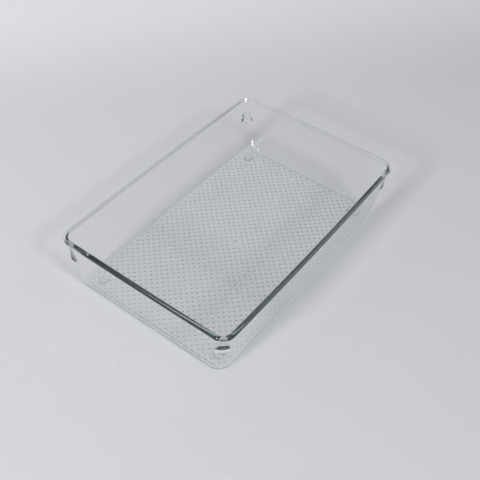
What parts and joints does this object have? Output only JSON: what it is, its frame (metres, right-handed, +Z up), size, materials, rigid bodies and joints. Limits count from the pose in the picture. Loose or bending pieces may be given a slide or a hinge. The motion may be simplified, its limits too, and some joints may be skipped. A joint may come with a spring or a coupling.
{
  "type": "letter tray",
  "caption": "Clear moulded open tray with flared walls, a flat rim, stacking lugs outside its corners and small round clear feet.",
  "frame": {"origin": "bottom centre of the tray's box, on the plane that the four feet stand on", "axes": "+Z up out of the tray's open top, +X along the long side, +Y along the short side"},
  "size_m": [0.2288, 0.1538, 0.0508],
  "materials": {
    "clear_tray": "clear polished, with a fine grid of small moulded dimples under the floor",
    "clear_foot": "clear soft bumper, smooth"
  },
  "bodies": {
    "root": {"tray_body": "clear_tray", "foot_front_left": "clear_foot", "foot_front_right": "clear_foot", "foot_rear_left": "clear_foot", "foot_rear_right": "clear_foot"}
  },
  "joints": []
}
